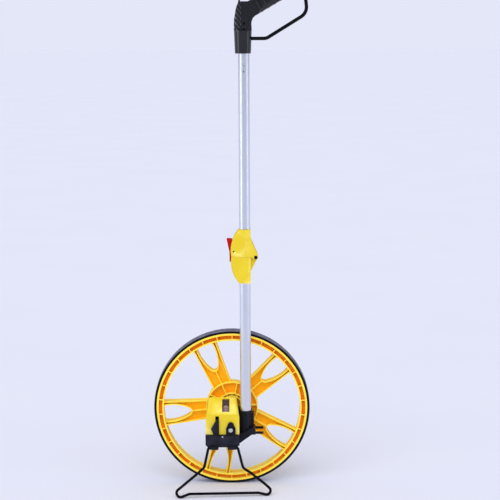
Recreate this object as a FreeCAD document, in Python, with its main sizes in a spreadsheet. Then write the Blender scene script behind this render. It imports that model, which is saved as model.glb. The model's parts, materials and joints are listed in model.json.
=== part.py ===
import FreeCAD, Part
import math
import os
import types

import Sketcher
from FreeCAD import Placement, Rotation, Vector

# A folding measuring wheel. X runs along the rolling direction, Y along the axle (-Y is the side with
# the counter), Z up. The origin is on the ground under the axle, in the wheel's middle plane. Millimetres.

SIZES = {
    # rolling wheel
    "wheel_radius": 159.155,
    "wheel_width": 30,
    "tyre_depth": 5.155,
    "rim_shell": 4,
    "rim_inner_radius": 139.5,
    "rim_inner_shell": 2.9,
    "web": 3,
    "rib": 2.2,
    "spoke_count": 5,
    "rim_rib_count": 30,
    "hub_rib_count": 10,
    "collar_rib_count": 15,
    "spoke_lean": 23.5,
    "spoke_depth": 24,
    "spoke_hub_half": 19,
    "spoke_rim_half": 25,
    "spoke_slot_tip": 83,
    "spoke_slot_half": 16.2,
    "spoke_slot_bulge": 80,
    "spoke_tip_half": 6,
    "spoke_tip_round": 6.93,
    "hub_radius": 53,
    "hub_depth": 26,
    "hub_collar_radius": 30,
    "hub_ring_radius": 24,
    "boss_radius": 15,
    # axle and its fittings
    "axle_radius": 3.95,
    "shoulder_radius": 5,
    "stub_radius": 3,
    "bearing_radius": 9.5,
    "bearing_width": 6,
    # counter drive
    "gear_teeth": 16,
    "gear_offset_x": 12.2,
    "input_height": 151,
    "bevel_teeth": 12,
    "bevel_radius": 6,
    "bevel_reach": 23.2,
    "shaft_radius": 1.5,
    # counter
    "slope": 29.1,
    "drum_count": 5,
    "drum_radius": 8.5,
    "drum_width": 5.4,
    "drum_pitch": 5.8,
    "first_drum": 14.6,
    "pinion_drop": 11.6,
    # bracket
    "tray_left": 53,
    "tray_right": 15.6,
    "tray_front": 74,
    "tray_bottom": 92,
    "tray_top": 116.5,
    "plate_front": 24,
    "plate_back": 20,
    # housing
    "house_left": 52.4,
    "house_right": 15.2,
    "house_front": 66,
    "house_front_top": 157.8,
    "house_back_top": 183,
    "house_wall": 2.2,
    "window_width": 14.8,
    "window_length": 37.5,
    "window_run": 26,
    # reset lever and the screw in the tray's lip
    "pivot_x": -2.3,
    "pivot_height": 126.5,
    "lever_thickness": 3.4,
    "tray_screw_x": -18.7,
    "tray_screw_height": 113.6,
    # mast
    "mast_x": 28.2,
    "mast_y": -42,
    "tube_radius": 11,
    "tube_wall": 1.2,
    "socket_radius": 12.8,
    "socket_top": 161,
    "lower_tube_bottom": 121,
    "lower_tube_top": 462,
    "upper_tube_bottom": 492,
    "upper_tube_top": 916,
    # folding joint, measured from the mast's axis
    "joint_bottom": 423.5,
    "joint_split": 476.5,
    "joint_top": 531,
    "joint_left": 27,
    "joint_right": 11.6,
    "joint_depth": 34,
    "hinge_reach": 21.8,
    "joint_outline_radius": 62,
    "joint_round": 3.2,
    "hinge_radius": 3.5,
    "hinge_drop": 0.2,
    "knuckle_radius": 4.7,
    "ear_depth": 19.4,
    "pad_rise": 1.2,
    "strip_rise": 0.8,
    "latch_height": 488,
    "latch_reach": 22.2,
    "latch_pin_radius": 1.75,
    "latch_width": 12,
    "rivet_radius": 2,
    "lower_rivet_height": 440,
    "upper_rivet_height": 520,
    "button_radius": 2,
    "button_height": 853,
    "vent_height": 843,
    "tube_screw_height": 140,
    # grip, its axis set a little to the left of the mast
    "grip_x": 26.6,
    "grip_bottom": 877.6,
    "grip_bottom_radius": 15.9,
    "grip_neck": 923,
    "grip_neck_radius": 17.6,
    "grip_half_depth": 15.5,
    "handle_angle": 30.4,
    "handle_thickness": 32,
    "guard_radius": 3.5,
    # kickstand
    "stand_y": -77.2,
    "stand_height": 91.7,
    "stand_wire_radius": 2.7,
    "stand_boss_radius": 4,
    "stand_boss_length": 17,
    "foot_y": -110.4,
    "foot_twist": 7.6,
}

doc = FreeCAD.newDocument("measuring_wheel")
sheet = doc.addObject("Spreadsheet::Sheet", "Sizes")
for row, (alias, number) in enumerate(SIZES.items(), start=1):
    sheet.set(f"A{row}", alias)
    sheet.set(f"B{row}", str(number))
    sheet.setAlias(f"B{row}", alias)
doc.recompute()


# ---------------------------------------------------------------- sizes that carry their expression

class Size:
    """A number together with the sheet expression that gives it."""

    def __init__(self, value, text):
        self.value = float(value)
        self.text = text

    def __float__(self):
        return self.value

    def __add__(self, other):
        return Size(self.value + float(other), f"({self.text} + {text_of(other)})")

    def __radd__(self, other):
        return self + other

    def __sub__(self, other):
        return Size(self.value - float(other), f"({self.text} - {text_of(other)})")

    def __rsub__(self, other):
        return Size(float(other) - self.value, f"({text_of(other)} - {self.text})")

    def __mul__(self, other):
        return Size(self.value * float(other), f"({self.text} * {text_of(other)})")

    def __rmul__(self, other):
        return self * other

    def __truediv__(self, other):
        return Size(self.value / float(other), f"({self.text} / {text_of(other)})")

    def __neg__(self):
        return Size(-self.value, f"(0 - {self.text})")


def text_of(size):
    return size.text if isinstance(size, Size) else f"({float(size):.6g})"


S = types.SimpleNamespace()
for alias in SIZES:
    setattr(S, alias, Size(sheet.get(alias), f"Sizes.{alias}"))


def bind(item, path, size):
    """Set a property, by expression where the size comes from the sheet."""
    if isinstance(size, Size):
        item.setExpression(path, size.text)
    elif "." in path:
        item.setExpression(path, text_of(size))
    else:
        setattr(item, path, float(size))


def place(item, x=0, y=0, z=0, rotation=None):
    """Place an object, its position bound to the sheet."""
    item.Placement = Placement(Vector(float(x), float(y), float(z)), rotation or Rotation())
    for letter, size in zip("xyz", (x, y, z)):
        if isinstance(size, Size):
            item.setExpression(f"Placement.Base.{letter}", size.text)
    return item


# ---------------------------------------------------------------- outlines

ALONG_X = Rotation(Vector(0, 1, 0), 90)
ALONG_Y = Rotation(Vector(1, 0, 0), -90)
SIDE_PLANE = Rotation(Vector(1, 0, 0), 90)         # local x, y become X, Z; local z looks to -Y
END_PLANE = Rotation(Vector(1, 1, 1), 120)         # local x, y become Y, Z; local z looks to +X
TOWARDS_FRONT = Rotation(Vector(1, 0, 0), 90)
TOWARDS_LEFT = Rotation(Vector(0, 1, 0), -90)


class Arc:
    """An outline's vertex reached by an arc of the given radius, turning left if radius > 0."""

    def __init__(self, x, y, radius):
        self.x = x
        self.y = y
        self.radius = radius


def arc_centre(start, end, radius):
    """Centre of the arc from start to end that turns left for a positive radius."""
    middle = (start + end) / 2
    chord = end - start
    reach = math.sqrt(max(radius * radius - chord.Length ** 2 / 4, 0.0))
    normal = Vector(-chord.y, chord.x, 0).normalize()
    return middle + normal * (reach if radius > 0 else -reach)


def draw(sketch, loops):
    """Draw closed loops of lines and arcs, every vertex held by its two distances."""
    for loop in loops:
        first = sketch.GeometryCount
        ends = [v if isinstance(v, Arc) else Arc(v[0], v[1], None) for v in loop]
        points = [Vector(float(v.x), float(v.y), 0) for v in ends]
        count = len(points)
        for i, target in enumerate(ends):
            start = points[i - 1]
            end = points[i]
            if target.radius is None:
                sketch.addGeometry(Part.LineSegment(start, end), False)
                continue
            radius = float(target.radius)
            centre = arc_centre(start, end, radius)
            circle = Part.Circle(centre, Vector(0, 0, 1), abs(radius))
            a, b = (start, end) if radius > 0 else (end, start)
            arc = Part.ArcOfCircle(circle, circle.parameter(a), circle.parameter(b))
            sketch.addGeometry(arc, False)
            sketch.addConstraint(Sketcher.Constraint("Radius", first + i, abs(radius)))
        for i, target in enumerate(ends):
            backward = target.radius is not None and float(target.radius) < 0
            end_vertex = 1 if backward else 2
            following = ends[(i + 1) % count]
            next_backward = following.radius is not None and float(following.radius) < 0
            start_vertex = 2 if next_backward else 1
            sketch.addConstraint(Sketcher.Constraint(
                "Coincident", first + i, end_vertex, first + (i + 1) % count, start_vertex))
            for kind, size in (("DistanceX", target.x), ("DistanceY", target.y)):
                number = sketch.addConstraint(Sketcher.Constraint(
                    kind, -1, 1, first + i, end_vertex, float(size)))
                if isinstance(size, Size):
                    sketch.setExpression(f"Constraints[{number}]", size.text)


def rectangle(x0, x1, y0, y1):
    return [(x0, y0), (x1, y0), (x1, y1), (x0, y1)]


def hidden_name(label, kind):
    return f"{label}_{kind}"


# ---------------------------------------------------------------- PartDesign helpers

def body(label, x=0, y=0, z=0, rotation=None):
    item = doc.addObject("PartDesign::Body", label)
    item.Label = label
    return place(item, x, y, z, rotation)


def body_sketch(owner, role, name, loops):
    """A sketch on one of the body's own origin planes."""
    plane = next(item for item in owner.Origin.OriginFeatures if item.Role == role)
    sketch = owner.newObject("Sketcher::SketchObject", name)
    sketch.AttachmentSupport = [(plane, "")]
    sketch.MapMode = "FlatFace"
    draw(sketch, loops)
    return sketch


def body_revolve(owner, name, loops, kind="PartDesign::Revolution"):
    """Turn a profile given as (y, radius) about the body's own Y axis."""
    profile = body_sketch(owner, "YZ_Plane", hidden_name(name, "profile"), loops)
    feature = owner.newObject(kind, name)
    feature.Profile = profile
    feature.ReferenceAxis = (profile, ["H_Axis"])
    feature.Angle = 360
    profile.Visibility = False
    return feature


def body_pad(owner, name, loops, depth, role="XZ_Plane"):
    """Pad a sketch by half the depth to each side of its plane."""
    profile = body_sketch(owner, role, hidden_name(name, "profile"), loops)
    feature = owner.newObject("PartDesign::Pad", name)
    feature.Profile = profile
    feature.SideType = "Symmetric"
    bind(feature, "Length", depth)
    profile.Visibility = False
    return feature


def body_pattern(owner, name, features, count):
    """Repeat features evenly about the body's own Y axis."""
    axis = next(item for item in owner.Origin.OriginFeatures if item.Role == "Y_Axis")
    pattern = owner.newObject("PartDesign::PolarPattern", name)
    pattern.Originals = features
    pattern.Axis = (axis, [""])
    pattern.Angle = 360
    bind(pattern, "Occurrences", count)
    owner.Tip = pattern
    return pattern


# ---------------------------------------------------------------- Part helpers

def box(label, x0, x1, y0, y1, z0, z1):
    item = doc.addObject("Part::Box", label)
    bind(item, "Length", x1 - x0)
    bind(item, "Width", y1 - y0)
    bind(item, "Height", z1 - z0)
    return place(item, x0, y0, z0)


def rod(label, radius, length, x=0, y=0, z=0, rotation=None):
    """A cylinder that starts at a point and runs along its rotation's Z."""
    item = doc.addObject("Part::Cylinder", label)
    bind(item, "Radius", radius)
    bind(item, "Height", length)
    return place(item, x, y, z, rotation)


def prism(label, loops, start, length, x=0, z=0):
    """An outline in X and Z, moved by (x, z), running from y = start towards -Y."""
    profile = doc.addObject("Sketcher::SketchObject", hidden_name(label, "profile"))
    profile.Placement = Placement(Vector(0, 0, 0), SIDE_PLANE)
    draw(profile, loops)
    item = doc.addObject("Part::Extrusion", label)
    item.Base = profile
    item.DirMode = "Normal"
    item.Solid = True
    bind(item, "LengthFwd", length)
    profile.Visibility = False
    return place(item, x, start, z)


def turned(label, profile, x=0, y=0, z=0, rotation=None):
    """A profile of (radius, height) turned about its own Z, then placed."""
    outline = doc.addObject("Sketcher::SketchObject", hidden_name(label, "profile"))
    outline.Placement = Placement(Vector(0, 0, 0), SIDE_PLANE)
    draw(outline, [profile])
    item = doc.addObject("Part::Revolution", label)
    item.Source = outline
    item.Axis = Vector(0, 0, 1)
    item.Angle = 360
    item.Solid = True
    outline.Visibility = False
    return place(item, x, y, z, rotation)


def fuse(label, items):
    item = doc.addObject("Part::MultiFuse", label)
    item.Shapes = items
    return item


def cut(label, base, tools):
    item = doc.addObject("Part::Cut", label)
    item.Base = base
    item.Tool = tools[0] if len(tools) == 1 else fuse(hidden_name(label, "tools"), tools)
    return item


def common(label, base, tool):
    item = doc.addObject("Part::Common", label)
    item.Base = base
    item.Tool = tool
    return item


def group(label, items):
    """Identical pieces that share one node and stay separate solids."""
    item = doc.addObject("Part::Compound", label)
    item.Links = items
    return item


def rounded(label, base, radius, wanted):
    """Fillet the edges that the wanted function picks by their shape."""
    doc.recompute()
    picked = [i for i, edge in enumerate(base.Shape.Edges, start=1) if wanted(edge)]
    item = doc.addObject("Part::Fillet", label)
    item.Base = base
    item.Edges = [(i, float(radius), float(radius)) for i in picked]
    return item


def shaped(label, shape, placement=None):
    """A piece whose form is worked out by formula."""
    item = doc.addObject("Part::Feature", label)
    item.Shape = shape
    item.Placement = placement or Placement()
    return item


def hexagon(across_flats):
    corner = across_flats / 2 / math.cos(math.radians(30))
    return [(corner * math.cos(math.radians(60 * i)), corner * math.sin(math.radians(60 * i)))
            for i in range(6)]


def bent_rod(points, radii, radius):
    """A round rod along straight runs joined by tangent arcs, one bend radius per inner point."""
    edges = []
    start = points[0]
    for before, corner, after, bend in zip(points, points[1:], points[2:], radii):
        back = (before - corner).normalize()
        ahead = (after - corner).normalize()
        half = back.getAngle(ahead) / 2
        reach = bend / math.tan(half)
        first = corner + back * reach
        last = corner + ahead * reach
        inward = (back + ahead).normalize()
        crown = corner + inward * (bend / math.sin(half) - bend)
        edges.append(Part.LineSegment(start, first).toShape())
        edges.append(Part.Arc(first, crown, last).toShape())
        start = last
    edges.append(Part.LineSegment(start, points[-1]).toShape())
    path = Part.Wire(edges)
    section = Part.Wire([Part.Circle(points[0], points[1] - points[0], radius).toShape()])
    return path.makePipeShell([section], True, True)


def coil(radius, wire, turns, pitch):
    """A helical spring about Z that starts at z = 0."""
    helix = Part.makeHelix(pitch, pitch * turns, radius)
    section = Part.Wire([Part.Circle(Vector(radius, 0, 0), Vector(0, 1, 0), wire).toShape()])
    return Part.Wire(helix.Edges).makePipeShell([section], True, True)


# ---------------------------------------------------------------- shared places

AXLE_Z = S.wheel_radius
INPUT_X = -S.gear_offset_x
MAST_REAR = S.mast_y + S.joint_depth / 2
HINGE_X = S.mast_x + S.hinge_reach
LATCH_X = S.mast_x - S.latch_reach
SPRING_HEIGHT = 505
slope = math.radians(float(S.slope))
APEX = Vector(float(INPUT_X), -49.26, float(S.input_height))
DRUM_LINE = Rotation(Vector(1, 0, 0), float(S.slope) - 90)
HOUSING_SCREWS = ((-44, 124), (-44, 166), (9.2, 124))       # X and Z of each screw
TRAY_FLOOR = S.tray_bottom + 2.5
parts = []


def keep(item, label=None):
    """Count an object as one finished sub-part."""
    if label:
        item.Label = label
    parts.append(item)
    return item


def on_drum_line(reach, drop=0.0):
    """A point at a distance behind the counter's apex along the drums' axis, and below that axis."""
    back = reach * math.cos(slope) + drop * math.sin(slope)
    up = reach * math.sin(slope) - drop * math.cos(slope)
    return APEX + Vector(0, back, up)


# ---------------------------------------------------------------- rolling wheel

def make_wheel():
    """One moulding: rim, five forked spokes with raised edges, and a ribbed hub."""
    wheel = body("wheel", z=AXLE_Z, rotation=Rotation(Vector(0, -1, 0), float(S.spoke_lean)))
    half = S.wheel_width / 2
    rim_outer = S.wheel_radius - S.tyre_depth
    rim_floor = rim_outer - S.rim_shell
    inner_top = S.rim_inner_radius + S.rim_inner_shell
    web = S.web / 2
    body_revolve(wheel, "rim", [[
        (-half, rim_outer), (-half, rim_floor), (-web, rim_floor), (-web, inner_top), (-half, inner_top),
        (-half, S.rim_inner_radius), (half, S.rim_inner_radius), (half, inner_top), (web, inner_top),
        (web, rim_floor), (half, rim_floor), (half, rim_outer)]])
    ring = S.hub_depth / 2
    wall = S.rib
    bearing = S.bearing_radius
    step = bearing - 2
    body_revolve(wheel, "hub", [[
        (-ring, S.hub_radius), (-ring, S.hub_radius - wall), (-web, S.hub_radius - wall),
        (-web, S.hub_collar_radius), (-ring, S.hub_collar_radius), (-ring, S.hub_collar_radius - wall),
        (-web, S.hub_collar_radius - wall), (-web, S.hub_ring_radius), (-ring, S.hub_ring_radius), (-ring, S.hub_ring_radius - wall),
        (-web, S.hub_ring_radius - wall), (-web, S.boss_radius), (-ring, S.boss_radius), (-ring, bearing),
        (-5.5, bearing), (-5.5, step), (-1, step), (-1, bearing), (7, bearing), (7, S.boss_radius),
        (web, S.boss_radius), (web, S.hub_ring_radius - wall), (ring, S.hub_ring_radius - wall),
        (ring, S.hub_ring_radius), (web, S.hub_ring_radius), (web, S.hub_radius - wall),
        (ring, S.hub_radius - wall), (ring, S.hub_radius)]])
    doc.recompute()

    # the spoke stands straight up in the wheel's own frame; its slot has bulging sides and a round tip
    root = S.hub_radius - 5
    top = S.rim_inner_radius - 0.5
    bulge = S.spoke_slot_bulge
    tip_half = S.spoke_tip_half
    tip_round = S.spoke_tip_round
    slant = math.asin(float(tip_half) / float(tip_round))
    tip_end = S.spoke_slot_tip + tip_round * (1 - math.cos(slant))
    sheet_pad = body_pad(wheel, "spoke_sheet", [[
        (-S.spoke_hub_half, root), (S.spoke_hub_half, root), (S.spoke_rim_half, top),
        (S.spoke_slot_half, top), Arc(tip_half, tip_end, -bulge), Arc(-tip_half, tip_end, -tip_round),
        Arc(-S.spoke_slot_half, top, -bulge), (-S.spoke_rim_half, top)]], S.web)
    edge = S.rib
    left_edge = [(-S.spoke_hub_half, root), (-S.spoke_hub_half + edge, root),
                 (-S.spoke_rim_half + edge, top), (-S.spoke_rim_half, top)]
    right_edge = [(-x, y) for x, y in reversed(left_edge)]
    outer_half = tip_half + edge * math.sin(slant)
    outer_end = tip_end - edge * math.cos(slant)
    slot_edge = [
        Arc(S.spoke_slot_half + edge, top, bulge + edge), (S.spoke_slot_half, top),
        Arc(tip_half, tip_end, -bulge), Arc(-tip_half, tip_end, -tip_round),
        Arc(-S.spoke_slot_half, top, -bulge), (-S.spoke_slot_half - edge, top),
        Arc(-outer_half, outer_end, bulge + edge), Arc(outer_half, outer_end, tip_round + edge)]
    middle_rib = rectangle(-edge / 2, edge / 2, S.hub_radius - 1, S.spoke_slot_tip - edge / 2)
    edge_pad = body_pad(wheel, "spoke_edges", [left_edge, right_edge, slot_edge], S.spoke_depth)
    rib_pad = body_pad(wheel, "spoke_middle_rib", [middle_rib], S.spoke_depth)
    body_pattern(wheel, "spokes", [sheet_pad, edge_pad, rib_pad], S.spoke_count)

    rim_rib = body_pad(wheel, "rim_rib", [rectangle(-0.8, 0.8, inner_top - 1, rim_floor + 1)],
                       S.wheel_width - 1)
    body_pattern(wheel, "rim_ribs", [rim_rib], S.rim_rib_count)
    hub_rib = body_pad(wheel, "hub_rib", [rectangle(-1, 1, S.hub_collar_radius - 1, S.hub_radius - 1)],
                       S.hub_depth - 1)
    collar_rib = body_pad(wheel, "collar_rib", [
        rectangle(-0.9, 0.9, S.hub_ring_radius - 1, S.hub_collar_radius - 1)], S.hub_depth - 2)
    body_pattern(wheel, "collar_ribs", [collar_rib], S.collar_rib_count)
    inner_rib = body_pad(wheel, "inner_rib", [rectangle(-1, 1, S.boss_radius - 1, S.hub_ring_radius - 1)],
                         8)
    body_pattern(wheel, "hub_ribs", [hub_rib, inner_rib], S.hub_rib_count)
    keep(wheel)


def make_tyre():
    """A solid rubber tread with three shallow grooves, flat on both sides."""
    tyre = body("tyre", z=AXLE_Z)
    half = S.wheel_width / 2
    inner = S.wheel_radius - S.tyre_depth
    body_revolve(tyre, "tread", [[(-half, inner), (half, inner), (half, S.wheel_radius - 0.8),
                                  (half - 0.8, S.wheel_radius), (-half + 0.8, S.wheel_radius),
                                  (-half, S.wheel_radius - 0.8)]])
    doc.recompute()
    grooves = [rectangle(centre - 0.9, centre + 0.9, S.wheel_radius - 1.2, S.wheel_radius + 1)
               for centre in (-8, 0, 8)]
    body_revolve(tyre, "grooves", grooves, "PartDesign::Groove")
    keep(tyre)


def make_hub_fittings():
    """Bearings, their spacer, the axle with its nuts and washer, and the dust cap."""
    bearings = []
    for i, start in enumerate((-11.5, -1)):
        race = [(S.axle_radius + 0.05, 0), (6, 0), (6, 0.5), (7.6, 0.5), (7.6, 0), (S.bearing_radius, 0),
                (S.bearing_radius, S.bearing_width), (7.6, S.bearing_width), (7.6, S.bearing_width - 0.5),
                (6, S.bearing_width - 0.5), (6, S.bearing_width), (S.axle_radius + 0.05, S.bearing_width)]
        bearings.append(turned(f"bearing_{i}", race, y=start, z=AXLE_Z, rotation=ALONG_Y))
    keep(group("hub_bearings", bearings))
    spacer = [(S.axle_radius + 0.05, 0), (5.6, 0), (5.6, 4.3), (S.axle_radius + 0.05, 4.3)]
    keep(turned("bearing_spacer", spacer, y=-5.4, z=AXLE_Z, rotation=ALONG_Y))
    axle = [(0, 0), (S.stub_radius - 0.4, 0), (S.stub_radius, 0.4), (S.stub_radius, 8.6), (7, 8.6),
            (7, 9.7), (S.shoulder_radius, 9.7), (S.shoulder_radius, 17), (S.axle_radius, 17),
            (S.axle_radius, 40.7), (S.axle_radius - 0.5, 41.2), (0, 41.2)]
    keep(turned("axle", axle, y=-28.6, z=AXLE_Z, rotation=ALONG_Y))
    nuts = []
    for name, start, thick, flats, bore in (("front", -28, 4, 10, S.stub_radius),
                                            ("rear", 6.3, 6, 13, S.axle_radius)):
        blank = prism(f"{name}_nut_blank", [hexagon(flats)], start + thick, thick, z=AXLE_Z)
        hole = rod(f"{name}_nut_hole", bore + 0.03, thick + 2, y=start - 1, z=AXLE_Z, rotation=ALONG_Y)
        nuts.append(cut(f"{name}_nut", blank, [hole]))
    keep(group("axle_nuts", nuts))
    washer = [(S.axle_radius + 0.1, 0), (8, 0), (8, 1.2), (S.axle_radius + 0.1, 1.2)]
    keep(turned("axle_washer", washer, y=5.1, z=AXLE_Z, rotation=ALONG_Y))
    bore = S.hub_ring_radius - S.rib
    cap = [(0, 0), (bore - 2, 0), (bore - 2, -5), (bore, -5), (bore, 0), (S.hub_ring_radius - 0.3, 0),
           (S.hub_ring_radius - 0.3, 1), (S.hub_ring_radius - 1.1, 1.7), (0, 1.7)]
    keep(turned("hub_cap", cap, y=S.hub_depth / 2, z=AXLE_Z, rotation=ALONG_Y))


# ---------------------------------------------------------------- counter drive

def gear_outline(teeth, root, tip, phase, height=0.0, scale=1.0):
    """A ring of plain tapered teeth with generous backlash, one tooth centred on the phase."""
    step = 2 * math.pi / teeth
    points = []
    for i in range(teeth):
        centre = phase + i * step
        for offset, radius in ((-0.30, root), (-0.13, tip), (0.13, tip), (0.30, root)):
            angle = centre + offset * step
            points.append(Vector(radius * math.cos(angle), radius * math.sin(angle), height) * scale)
    return Part.makePolygon(points + points[:1])


def spur_shape(bore, width, phase):
    """A spur gear about Z with its pitch circles half the centre distance in radius."""
    module = float(gear_centre_distance()) / float(S.gear_teeth)
    pitch = module * float(S.gear_teeth) / 2
    outline = gear_outline(int(S.gear_teeth.value), pitch - module, pitch + 0.8 * module, phase)
    blank = Part.Face(outline).extrude(Vector(0, 0, width))
    return blank.cut(Part.makeCylinder(bore, width, Vector(0, 0, 0)))


def gear_centre_distance():
    return math.hypot(float(S.gear_offset_x), float(S.wheel_radius) - float(S.input_height))


def mesh_direction():
    """Direction from the axle to the input shaft, measured from +X towards +Z."""
    return math.atan2(float(S.input_height) - float(S.wheel_radius), -float(S.gear_offset_x))


def bevel_shape(phase):
    """A bevel gear about Z whose pitch cone has its apex at the origin."""
    module = 2 * float(S.bevel_radius) / float(S.bevel_teeth)
    reach = float(S.bevel_reach)
    root = float(S.bevel_radius) - 0.95 * module
    tip = float(S.bevel_radius) + 0.7 * module
    teeth = int(S.bevel_teeth.value)
    large = gear_outline(teeth, root, tip, phase, reach)
    small = gear_outline(teeth, root, tip, phase, reach, (reach - 3) / reach)
    blank = Part.makeLoft([small, large], True, True)
    bore = Part.makeCylinder(float(S.shaft_radius), 2 * reach, Vector(0, 0, 0))
    return blank.cut(bore)


def make_drive():
    """Hub gear, input gear and its shaft, and the bevel pair that turns the drums' tilted shaft."""
    # gear shapes are drawn about Z and laid along +Y; their first axis stays +X
    to_axle = mesh_direction()
    tooth = math.pi / float(S.gear_teeth)
    hub_teeth = spur_shape(float(S.shoulder_radius) + 0.6, 4, -to_axle)
    flange = Part.makeCylinder(13, 1.5, Vector(0, 0, 4))
    flange = flange.cut(Part.makeCylinder(float(S.shoulder_radius) + 0.6, 1.5, Vector(0, 0, 4)))
    skirt = Part.makeCylinder(float(S.bearing_radius), 1.3, Vector(0, 0, 5.5))
    skirt = skirt.cut(Part.makeCylinder(7.2, 1.3, Vector(0, 0, 5.5)))
    keep(shaped("drive_gear", hub_teeth.fuse([flange, skirt]).removeSplitter(),
                Placement(Vector(0, -18.5, float(AXLE_Z)), ALONG_Y)))
    facing = to_axle + math.pi + tooth
    keep(shaped("input_gear", spur_shape(float(S.shaft_radius), 3.4, -facing),
                Placement(Vector(float(INPUT_X), -18.3, float(S.input_height)), ALONG_Y)))
    keep(rod("input_shaft", S.shaft_radius, 14.9, INPUT_X, -29.6, S.input_height, ALONG_Y))
    bush = [(S.shaft_radius + 0.05, 0), (3, 0), (3, 4.3), (4, 4.3), (4, 5.1), (S.shaft_radius + 0.05, 5.1)]
    keep(turned("input_bush", bush, INPUT_X, -24.3, S.input_height, ALONG_Y))
    keep(shaped("drive_bevel_gear", bevel_shape(-math.pi / 2), Placement(APEX, ALONG_Y)))
    half_tooth = math.pi / float(S.bevel_teeth)
    keep(shaped("driven_bevel_gear", bevel_shape(math.pi / 2 + half_tooth), Placement(APEX, DRUM_LINE)))


# ---------------------------------------------------------------- counter

def drum_place(reach):
    return Placement(on_drum_line(reach), DRUM_LINE)


def make_drums():
    """Five number drums on one tilted shaft; a ring of transfer pockets runs round each rim's edge."""
    width = float(S.drum_width)
    radius = float(S.drum_radius)
    shaft_start = -13.4
    shaft_length = float(S.bevel_reach) + 0.6 - shaft_start
    keep(shaped("counter_shaft", Part.makeCylinder(float(S.shaft_radius), shaft_length),
                drum_place(shaft_start)))
    for i in range(int(S.drum_count.value)):
        bore = float(S.shaft_radius) + (0.0 if i == 0 else 0.05)
        drum = Part.makeCylinder(radius, width)
        recess = Part.makeCylinder(radius - 1.6, 1, Vector(0, 0, 0))
        recess = recess.cut(Part.makeCylinder(bore + 1.8, 1, Vector(0, 0, 0)))
        drum = drum.cut(recess).cut(Part.makeCylinder(bore, width))
        reach = float(S.first_drum) - i * float(S.drum_pitch) - width / 2
        keep(shaped(f"digit_drum_{i + 1}", drum, drum_place(reach)))


def make_pinions():
    """Four transfer pinions between the drums, on a thin shaft under them."""
    drop = float(S.pinion_drop)
    outline = gear_outline(8, 1.9, 2.7, 0.0)
    blank = Part.Face(outline).extrude(Vector(0, 0, 2.4)).cut(Part.makeCylinder(1.05, 2.4))
    for i in range(int(S.drum_count.value) - 1):
        reach = float(S.first_drum) - (i + 0.5) * float(S.drum_pitch) - 1.2
        spot = Placement(on_drum_line(reach, drop), DRUM_LINE)
        keep(shaped(f"transfer_pinion_{i + 1}", blank.copy(), spot))
    keep(shaped("pinion_shaft", Part.makeCylinder(1, 27.5), Placement(on_drum_line(-13, drop), DRUM_LINE)))


def make_counter_frame():
    """A channel along the drums' axis with end plates for both shafts, on a leg to the tray's floor."""
    # outline in (reach, rise), both measured from the apex along and across the drums' axis
    side = [(-13.4, -18.5), (17.5, -18.5), (17.5, -6), (19.4, -6), (19.4, 4), (17.8, 4), (17.8, 0),
            (-13.4, 0)]

    def slab(outline, x0, x1):
        points = [Vector(x0, -y, x) for x, y in outline]
        face = Part.Face(Part.makePolygon(points + points[:1]))
        return face.extrude(Vector(x1 - x0, 0, 0))

    inner = 10.0
    outer = 11.5
    solids = [slab(side, inner, outer), slab(side, -outer, -inner)]
    solids.append(slab(rectangle(-13.4, 15.0, -18.5, -17.0), -outer, outer))
    solids.append(slab(rectangle(-13.4, -11.9, -18.5, 2.8), -outer, outer))
    solids.append(slab(rectangle(17.8, 19.4, -5, 4), -outer, outer))
    solids.append(slab(rectangle(13.1, 14.5, -17.5, -9), -outer, outer))
    frame = solids[0].fuse(solids[1:]).removeSplitter()
    frame = frame.cut(Part.makeCylinder(float(S.shaft_radius) + 0.05, 60, Vector(0, 0, -20)))
    # the long hole passes both end plates; the pinion shaft sits tight in its own
    frame = frame.cut(Part.makeCylinder(1, 40, Vector(0, float(S.pinion_drop), -13)))
    frame.Placement = Placement(APEX, DRUM_LINE)
    floor = float(TRAY_FLOOR)
    leg = Part.makeBox(15, 4, 134 - floor, Vector(float(INPUT_X) - 7.5, -46, floor))
    foot = Part.makeBox(24, 12, 2, Vector(float(INPUT_X) - 12, -50, floor))
    keep(shaped("counter_frame", frame.fuse([leg, foot]).removeSplitter()))


# ---------------------------------------------------------------- bracket

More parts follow.
